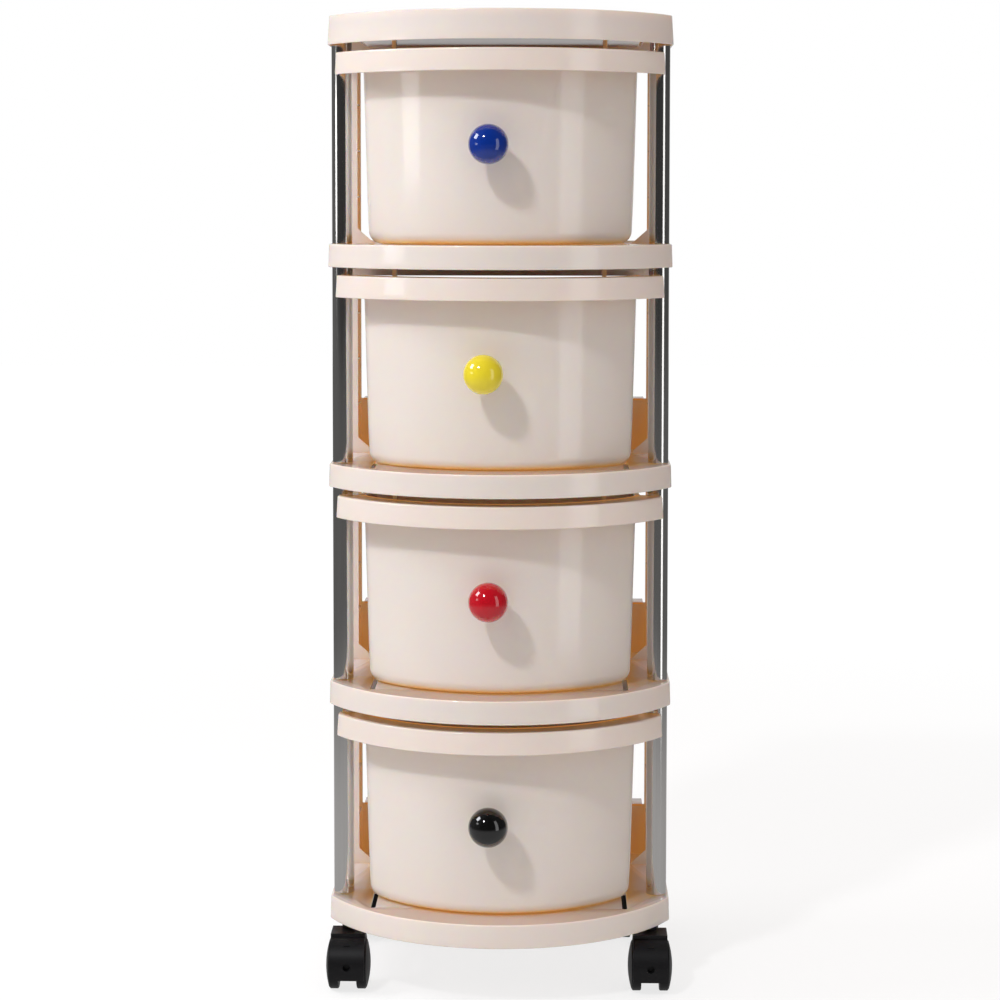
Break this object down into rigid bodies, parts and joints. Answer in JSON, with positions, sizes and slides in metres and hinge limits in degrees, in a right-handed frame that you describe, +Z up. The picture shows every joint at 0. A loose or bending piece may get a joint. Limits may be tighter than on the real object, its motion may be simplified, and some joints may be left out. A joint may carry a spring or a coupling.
{
  "type": "rolling drawer tower",
  "caption": "Tall rolling storage tower with bow-fronted pull-out tub drawers between moulded trays, bright front tubes, moulded back frames and twin-wheel swivel castors.",
  "frame": {"origin": "on the floor, under the middle of the whole piece, knobs included", "axes": "+X to the right as seen from the front, +Y to the back, +Z up"},
  "size_m": [0.3234, 0.328, 0.906],
  "materials": {
    "cream": "satin gloss",
    "chrome": "polished",
    "knob_blue": "gloss",
    "knob_yellow": "gloss",
    "knob_red": "gloss",
    "knob_black": "gloss",
    "castor_black": "satin",
    "steel": "zinc plated"
  },
  "bodies": {
    "tower": {"top_tray": "cream", "shelf_tray_1": "cream", "shelf_tray_2": "cream", "shelf_tray_3": "cream", "base_tray": "cream", "post_left_1": "chrome", "post_left_2": "chrome", "post_left_3": "chrome", "post_left_4": "chrome", "post_right_1": "chrome", "post_right_2": "chrome", "post_right_3": "chrome", "post_right_4": "chrome", "back_frame_1": "cream", "back_frame_2": "cream", "back_frame_3": "cream", "back_frame_4": "cream", "frame_screws": "steel", "castor_stem_fl": "steel", "castor_stem_fr": "steel", "castor_stem_rl": "steel", "castor_stem_rr": "steel"},
    "drawer_1": {"drawer_1": "cream", "knob_1": "knob_blue", "knob_screw_1": "steel"},
    "drawer_2": {"drawer_2": "cream", "knob_2": "knob_yellow", "knob_screw_2": "steel"},
    "drawer_3": {"drawer_3": "cream", "knob_3": "knob_red", "knob_screw_3": "steel"},
    "drawer_4": {"drawer_4": "cream", "knob_4": "knob_black", "knob_screw_4": "steel"},
    "castor_fl": {"castor_hood_fl": "castor_black", "castor_axle_fl": "steel"},
    "wheel_fl_left": {"wheel_fl_left": "castor_black"},
    "wheel_fl_right": {"wheel_fl_right": "castor_black"},
    "castor_fr": {"castor_hood_fr": "castor_black", "castor_axle_fr": "steel"},
    "wheel_fr_left": {"wheel_fr_left": "castor_black"},
    "wheel_fr_right": {"wheel_fr_right": "castor_black"},
    "castor_rl": {"castor_hood_rl": "castor_black", "castor_axle_rl": "steel"},
    "wheel_rl_left": {"wheel_rl_left": "castor_black"},
    "wheel_rl_right": {"wheel_rl_right": "castor_black"},
    "castor_rr": {"castor_hood_rr": "castor_black", "castor_axle_rr": "steel"},
    "wheel_rr_left": {"wheel_rr_left": "castor_black"},
    "wheel_rr_right": {"wheel_rr_right": "castor_black"}
  },
  "joints": [
    {"name": "drawer_1_slide", "type": "slide", "parent": "tower", "child": "drawer_1", "axis": [0, -1, 0], "range_m": [0, 0.185]},
    {"name": "drawer_2_slide", "type": "slide", "parent": "tower", "child": "drawer_2", "axis": [0, -1, 0], "range_m": [0, 0.185]},
    {"name": "drawer_3_slide", "type": "slide", "parent": "tower", "child": "drawer_3", "axis": [0, -1, 0], "range_m": [0, 0.185]},
    {"name": "drawer_4_slide", "type": "slide", "parent": "tower", "child": "drawer_4", "axis": [0, -1, 0], "range_m": [0, 0.185]},
    {"name": "castor_fl_swivel", "type": "hinge", "parent": "tower", "child": "castor_fl", "pos_m": [-0.141, -0.054, 0.0235], "axis": [0, 0, 1], "continuous": true},
    {"name": "wheel_fl_left_roll", "type": "hinge", "parent": "castor_fl", "child": "wheel_fl_left", "pos_m": [-0.141, -0.07, 0.0235], "axis": [1, 0, 0], "continuous": true},
    {"name": "wheel_fl_right_roll", "type": "hinge", "parent": "castor_fl", "child": "wheel_fl_right", "pos_m": [-0.141, -0.07, 0.0235], "axis": [1, 0, 0], "continuous": true},
    {"name": "castor_fr_swivel", "type": "hinge", "parent": "tower", "child": "castor_fr", "pos_m": [0.141, -0.054, 0.0235], "axis": [0, 0, 1], "continuous": true},
    {"name": "wheel_fr_left_roll", "type": "hinge", "parent": "castor_fr", "child": "wheel_fr_left", "pos_m": [0.141, -0.07, 0.0235], "axis": [1, 0, 0], "continuous": true},
    {"name": "wheel_fr_right_roll", "type": "hinge", "parent": "castor_fr", "child": "wheel_fr_right", "pos_m": [0.141, -0.07, 0.0235], "axis": [1, 0, 0], "continuous": true},
    {"name": "castor_rl_swivel", "type": "hinge", "parent": "tower", "child": "castor_rl", "pos_m": [-0.136, 0.124, 0.0235], "axis": [0, 0, 1], "continuous": true},
    {"name": "wheel_rl_left_roll", "type": "hinge", "parent": "castor_rl", "child": "wheel_rl_left", "pos_m": [-0.136, 0.108, 0.0235], "axis": [1, 0, 0], "continuous": true},
    {"name": "wheel_rl_right_roll", "type": "hinge", "parent": "castor_rl", "child": "wheel_rl_right", "pos_m": [-0.136, 0.108, 0.0235], "axis": [1, 0, 0], "continuous": true},
    {"name": "castor_rr_swivel", "type": "hinge", "parent": "tower", "child": "castor_rr", "pos_m": [0.136, 0.124, 0.0235], "axis": [0, 0, 1], "continuous": true},
    {"name": "wheel_rr_left_roll", "type": "hinge", "parent": "castor_rr", "child": "wheel_rr_left", "pos_m": [0.136, 0.108, 0.0235], "axis": [1, 0, 0], "continuous": true},
    {"name": "wheel_rr_right_roll", "type": "hinge", "parent": "castor_rr", "child": "wheel_rr_right", "pos_m": [0.136, 0.108, 0.0235], "axis": [1, 0, 0], "continuous": true}
  ]
}
